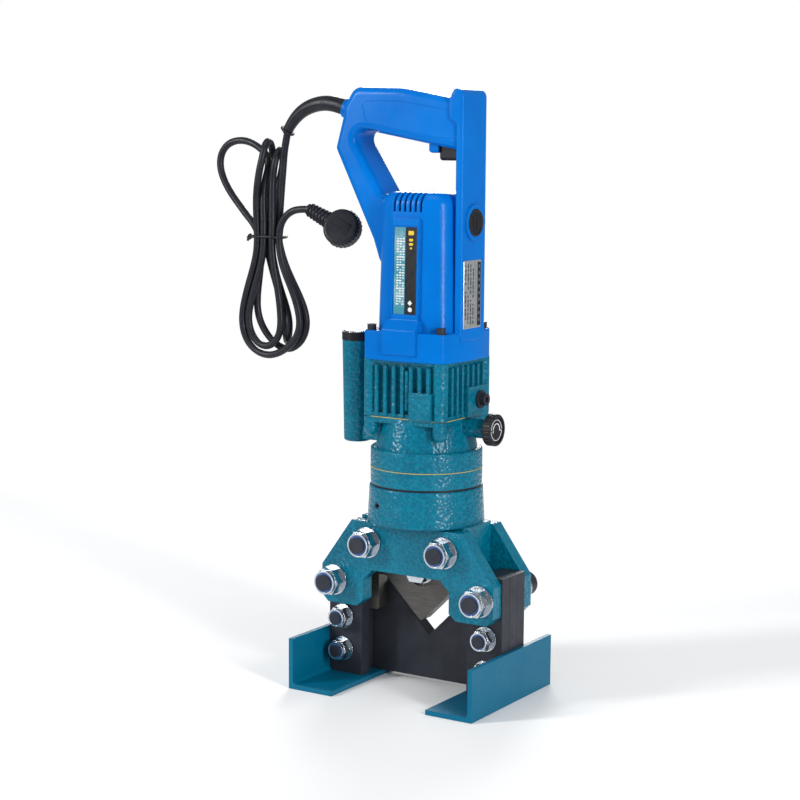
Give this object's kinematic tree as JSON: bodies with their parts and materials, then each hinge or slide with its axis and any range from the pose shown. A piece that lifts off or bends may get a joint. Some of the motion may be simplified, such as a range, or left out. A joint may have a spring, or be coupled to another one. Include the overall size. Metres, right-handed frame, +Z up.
{
  "type": "electro-hydraulic steel cutter",
  "caption": "Portable electro-hydraulic cutter: a V blade and die between cheek plates on angle-steel feet, a hydraulic unit, and a motor unit with a D handle and mains lead.",
  "frame": {"origin": "on the floor at the centre of the two feet", "axes": "+X towards the switch spine and the release knob, -Y the side with the nuts, +Z up along the ram's axis, which stands 8.3 mm behind the origin"},
  "size_m": [0.3596, 0.1539, 0.5799],
  "materials": {
    "teal_casting": "hammertone",
    "teal_satin": "satin",
    "blackened_steel": "blackened, satin",
    "ground_steel": "ground",
    "bright_steel": "zinc plated",
    "blue_nylon": "nylon insert",
    "blue_plastic": "moulded, glossy",
    "black_plastic": "moulded, satin",
    "black_rubber": "flexible",
    "gasket": "gasket board",
    "bright_cap": "turned",
    "spring_steel": "oiled",
    "motor_iron": "varnished laminations",
    "copper": "turned copper",
    "fan_plastic": "moulded",
    "carbon": "carbon",
    "cast_aluminium": "as cast"
  },
  "bodies": {
    "tool": {"left_foot": "teal_satin", "right_foot": "teal_satin", "foot_screws": "blackened_steel", "front_plate": "teal_casting", "rear_plate": "teal_casting", "left_front_guide": "blackened_steel", "left_blade_guide": "blackened_steel", "right_front_guide": "blackened_steel", "right_blade_guide": "blackened_steel", "die_plate": "blackened_steel", "m16_bolts": "blackened_steel", "m16_nuts": "bright_steel", "m12_bolts": "blackened_steel", "m12_nuts": "bright_steel", "bolt_washers": "bright_steel", "nut_inserts": "blue_nylon", "head_block": "teal_casting", "set_screw": "blackened_steel", "cylinder": "teal_casting", "dust_seal": "black_rubber", "cylinder_gasket": "gasket", "return_spring": "spring_steel", "pump_body": "teal_casting", "pump_gasket": "gasket", "pump_housing": "teal_casting", "oil_plug_washer": "bright_steel", "oil_plug": "blackened_steel", "bladder_tube": "teal_casting", "bladder_ring": "black_plastic", "bladder_cap": "bright_cap", "oil_bladder": "black_rubber", "pump_element": "bright_steel", "ball_bearings": "bright_steel", "stator": "motor_iron", "carbon_brushes": "carbon", "bearing_bracket": "cast_aluminium", "motor_housing": "blue_plastic", "handle_cover": "blue_plastic", "brush_caps": "black_plastic", "flange_screws": "blackened_steel", "switch_body": "black_plastic", "cord_boot": "black_rubber", "cord_lead": "black_rubber", "cord_hank": "black_rubber", "cord_tail": "black_rubber", "plug_body": "black_rubber", "plug_pins": "bright_steel"},
    "trigger": {"trigger": "black_plastic"},
    "ram": {"ram": "ground_steel", "piston_seal": "black_rubber", "blade": "ground_steel", "blade_bolt": "bright_steel", "blade_nut": "bright_steel"},
    "release_valve": {"release_knob": "black_plastic", "release_stem": "bright_steel"},
    "armature": {"armature": "motor_iron", "commutator": "copper", "motor_fan": "fan_plastic"},
    "eccentric": {"eccentric_shaft": "bright_steel"}
  },
  "joints": [
    {"name": "trigger_press", "type": "slide", "parent": "tool", "child": "trigger", "axis": [0, 0, 1], "range_m": [0, 0.006], "stiffness_N_per_m": 400, "springref_m": -0.008},
    {"name": "ram_stroke", "type": "slide", "parent": "tool", "child": "ram", "axis": [0, 0, -1], "range_m": [0, 0.022], "stiffness_N_per_m": 3500, "springref_m": -0.012, "deforming": ["return_spring"]},
    {"name": "release_valve_turn", "type": "hinge", "parent": "tool", "child": "release_valve", "pos_m": [0.07, 0.0083, 0.2595], "axis": [1, 0, 0], "range_deg": [0, 270]},
    {"name": "armature_spin", "type": "hinge", "parent": "tool", "child": "armature", "pos_m": [0, 0.0083, 0.4], "axis": [0, 0, 1], "continuous": true},
    {"name": "eccentric_spin", "type": "hinge", "parent": "tool", "child": "eccentric", "pos_m": [-0.01964, 0.0083, 0.3], "axis": [0, 0, 1], "continuous": true}
  ],
  "couplings": [
    {"joint": "eccentric_spin", "follows": "armature_spin", "ratio": -0.28947}
  ]
}
